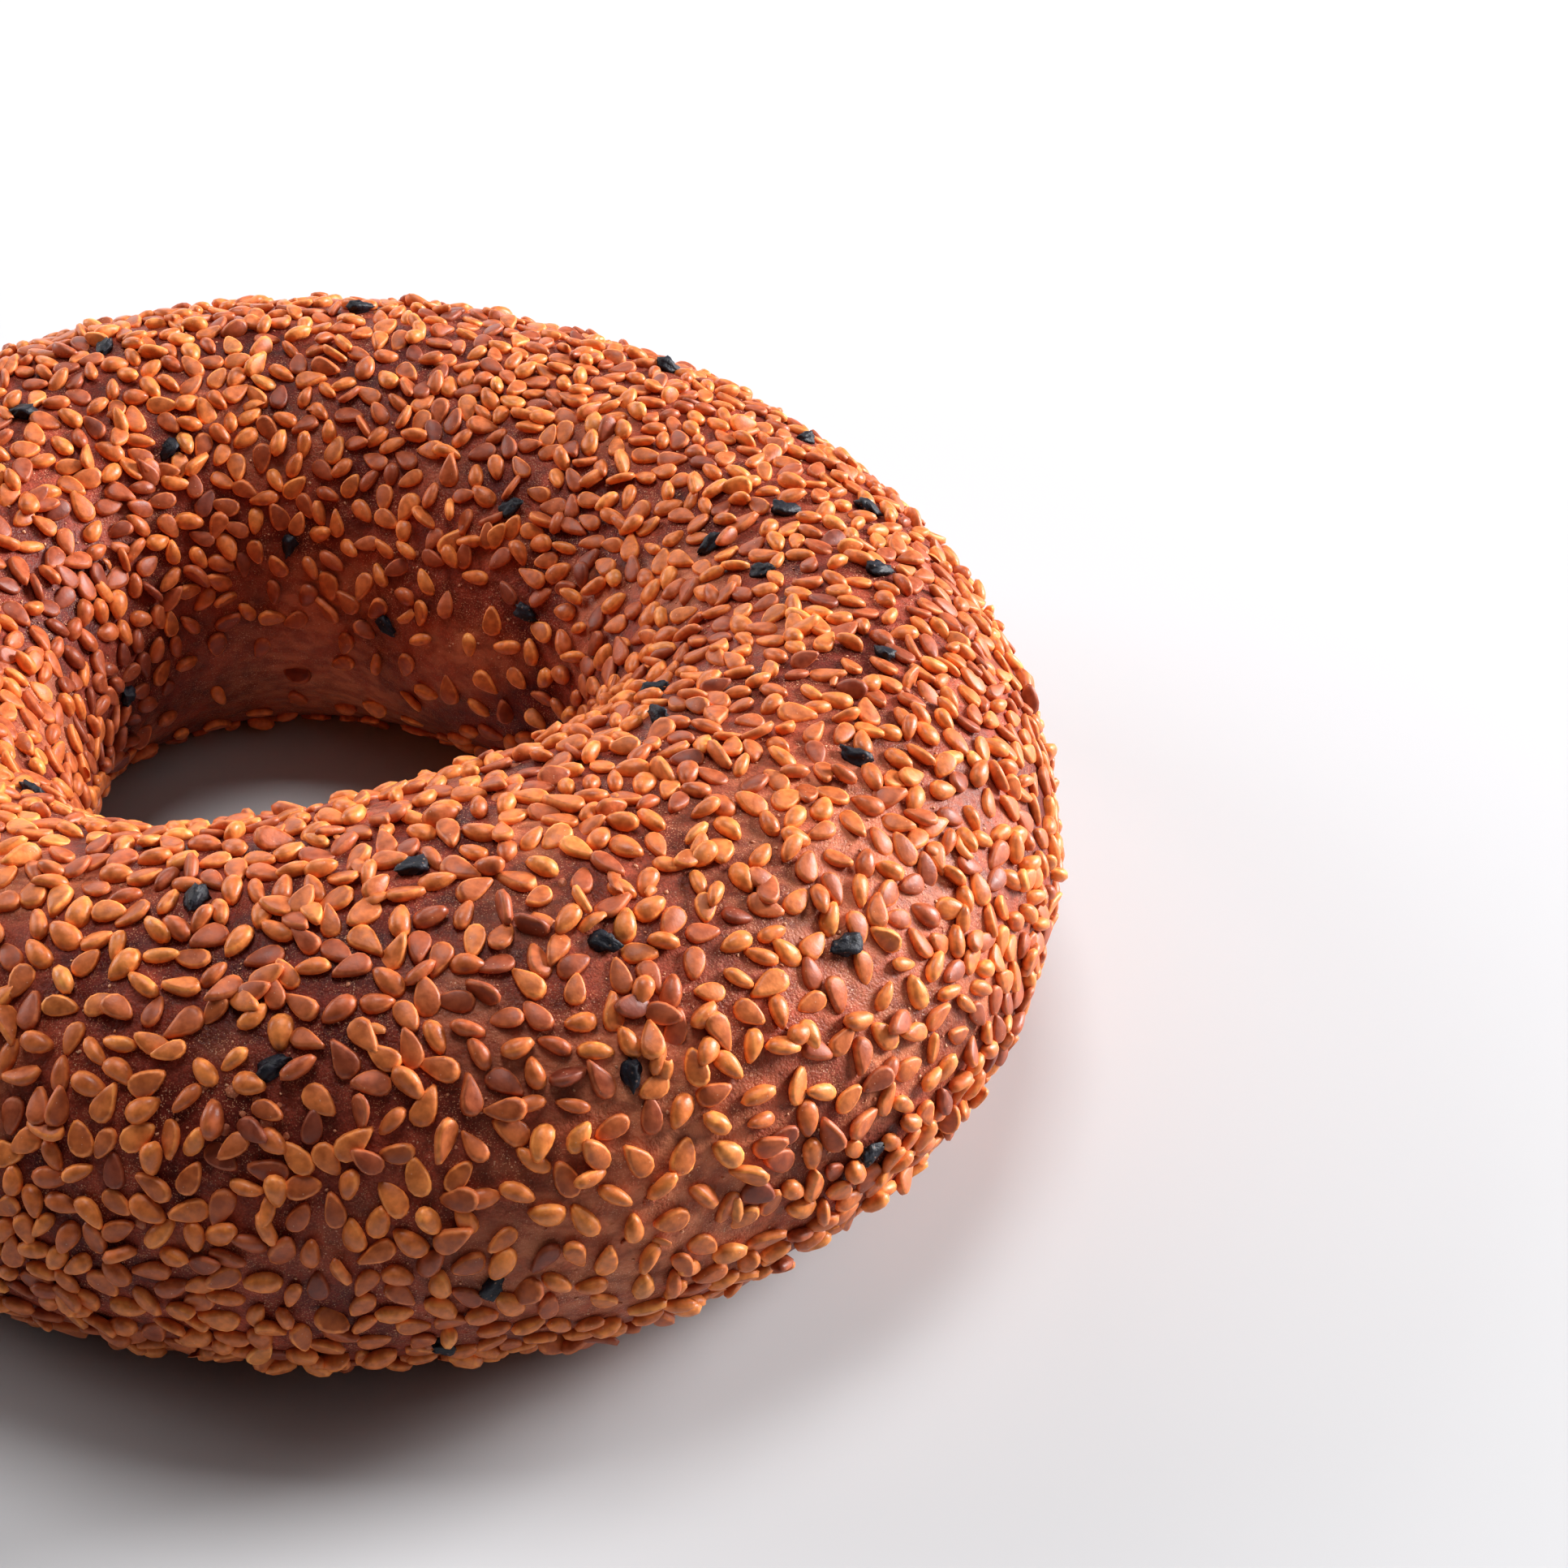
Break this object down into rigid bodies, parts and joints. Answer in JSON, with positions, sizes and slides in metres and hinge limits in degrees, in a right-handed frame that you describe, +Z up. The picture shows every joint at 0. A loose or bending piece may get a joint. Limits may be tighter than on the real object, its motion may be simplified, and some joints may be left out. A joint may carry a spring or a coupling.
{
  "type": "simit",
  "caption": "Plump ring of browned bread with an open middle, its whole crust covered in toasted sesame seeds and a few black seeds.",
  "frame": {"origin": "middle of the ring's footprint, on the surface that it rests on", "axes": "+Z up through the middle of the ring; the stretch of the ring that the picture shows nearest is towards -Y"},
  "size_m": [0.1554, 0.1514, 0.0485],
  "materials": {
    "crust": "satin baked crust",
    "sesame_seeds": "satin toasted seed",
    "black_seeds": "dull wrinkled seed"
  },
  "bodies": {
    "root": {"simit": "crust"}
  },
  "joints": []
}
